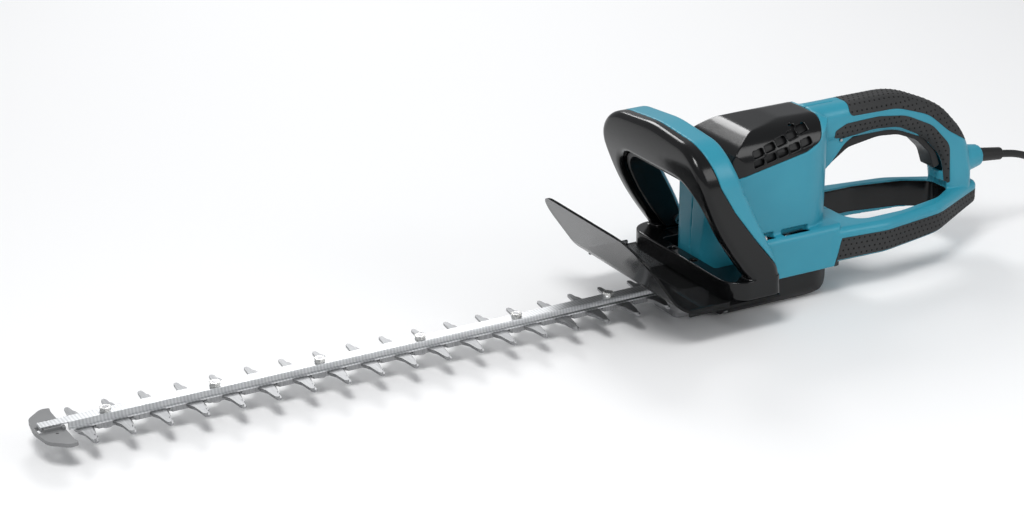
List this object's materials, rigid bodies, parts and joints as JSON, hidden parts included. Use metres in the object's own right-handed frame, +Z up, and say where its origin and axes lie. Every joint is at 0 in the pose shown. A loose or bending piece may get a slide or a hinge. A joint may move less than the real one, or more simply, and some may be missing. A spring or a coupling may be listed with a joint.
{
  "type": "hedge trimmer",
  "caption": "Corded hedge trimmer with a double-sided reciprocating toothed blade, loop front handle with switch lever, clear hand guard and D-shaped rear handle.",
  "frame": {"origin": "middle of the trimmer's length and width, on the floor it stands on, without its cord", "axes": "+Z up, -X along the blade towards its tip, +X towards the rear handle and the cord, +Y to the user's right"},
  "size_m": [1.2792, 0.2734, 0.2034],
  "materials": {
    "teal_plastic": "satin",
    "black_gloss": "gloss",
    "black_plastic": "satin",
    "grip_rubber": "matte",
    "cord_rubber": "matte",
    "smoked_clear": "clear",
    "grey_plastic": "satin",
    "pale_plastic": "satin",
    "blade_steel": "ground",
    "plain_steel": "satin",
    "zinc_steel": "bright",
    "core_steel": "dull",
    "cast_alloy": "cast",
    "copper": "enamelled",
    "carbon": "matte"
  },
  "bodies": {
    "root": {"housing_left": "teal_plastic", "housing_right": "teal_plastic", "motor_cover": "black_gloss", "bottom_cover": "black_plastic", "front_handle_front": "black_gloss", "front_handle_rear": "teal_plastic", "arch_top_grip": "grip_rubber", "arch_side_grips": "grip_rubber", "ring_grip": "grip_rubber", "ring_liner": "black_plastic", "guard": "smoked_clear", "tip_protector": "grey_plastic", "guide_bar": "blade_steel", "bar_bolts": "plain_steel", "bar_nuts": "zinc_steel", "bar_washers": "zinc_steel", "blade_sleeves": "plain_steel", "gear_housing": "cast_alloy", "gear_case_cover": "cast_alloy", "gear_case_screws": "zinc_steel", "crank_bearing_lower": "copper", "crank_bearing_upper": "plain_steel", "fan_baffle": "grey_plastic", "stator_core": "core_steel", "field_coils": "copper", "armature_bearing_lower": "plain_steel", "armature_bearing_upper": "plain_steel", "bearing_bracket": "grey_plastic", "brush_holders": "copper", "carbon_brushes": "carbon", "noise_capacitor": "pale_plastic", "rear_switch": "black_plastic", "front_switch": "black_plastic", "trigger_pin": "plain_steel", "trigger_spring": "plain_steel", "lever_pins": "plain_steel", "lever_springs": "plain_steel", "housing_screws": "plain_steel", "cover_screws": "plain_steel", "front_handle_screws": "plain_steel", "cord_clamp": "grey_plastic", "cord_guard": "cord_rubber", "power_cord": "cord_rubber", "plug_body": "cord_rubber", "plug_pins": "zinc_steel"},
    "armature": {"armature_shaft": "plain_steel", "armature_core": "core_steel", "armature_windings": "copper", "commutator": "copper", "cooling_fan": "grey_plastic"},
    "crank": {"crank_shaft": "plain_steel", "crank_gear": "plain_steel"},
    "upper_rod": {"upper_rod": "plain_steel"},
    "lower_rod": {"lower_rod": "plain_steel"},
    "upper_blade": {"upper_blade": "blade_steel", "upper_blade_pin": "plain_steel"},
    "lower_blade": {"lower_blade": "blade_steel", "lower_blade_pin": "plain_steel"},
    "rear_trigger": {"rear_trigger": "black_plastic"},
    "front_lever": {"front_lever": "black_plastic"}
  },
  "joints": [
    {"name": "armature_spin", "type": "hinge", "parent": "root", "child": "armature", "pos_m": [0.24, 0, 0.1], "axis": [0, 0, 1], "continuous": true},
    {"name": "crank_turn", "type": "hinge", "parent": "root", "child": "crank", "pos_m": [0.20535, 0, 0.03], "axis": [0, 0, 1], "continuous": true},
    {"name": "upper_rod_turn", "type": "hinge", "parent": "crank", "child": "upper_rod", "pos_m": [0.20535, 0.007, 0.0266], "axis": [0, 0, 1], "continuous": true},
    {"name": "lower_rod_turn", "type": "hinge", "parent": "crank", "child": "lower_rod", "pos_m": [0.20535, -0.007, 0.0174], "axis": [0, 0, 1], "continuous": true},
    {"name": "upper_blade_slide", "type": "slide", "parent": "root", "child": "upper_blade", "axis": [1, 0, 0], "range_m": [-0.007, 0.007]},
    {"name": "lower_blade_slide", "type": "slide", "parent": "root", "child": "lower_blade", "axis": [1, 0, 0], "range_m": [-0.007, 0.007]},
    {"name": "rear_trigger_press", "type": "hinge", "parent": "root", "child": "rear_trigger", "pos_m": [0.332, 0, 0.152], "axis": [0, -1, 0], "range_deg": [0, 3], "stiffness_Nm_per_rad": 4, "deforming": ["trigger_spring"]},
    {"name": "front_lever_press", "type": "hinge", "parent": "root", "child": "front_lever", "pos_m": [0.191, 0, 0.066], "axis": [0, -1, 0], "range_deg": [0, 3.5], "stiffness_Nm_per_rad": 6}
  ],
  "couplings": [
    {"joint": "crank_turn", "follows": "armature_spin", "ratio": -0.16667},
    {"joint": "upper_rod_turn", "follows": "armature_spin", "ratio": 0.16667},
    {"joint": "lower_rod_turn", "follows": "armature_spin", "ratio": 0.16667},
    {"joint": "lower_blade_slide", "follows": "upper_blade_slide", "ratio": -1}
  ]
}
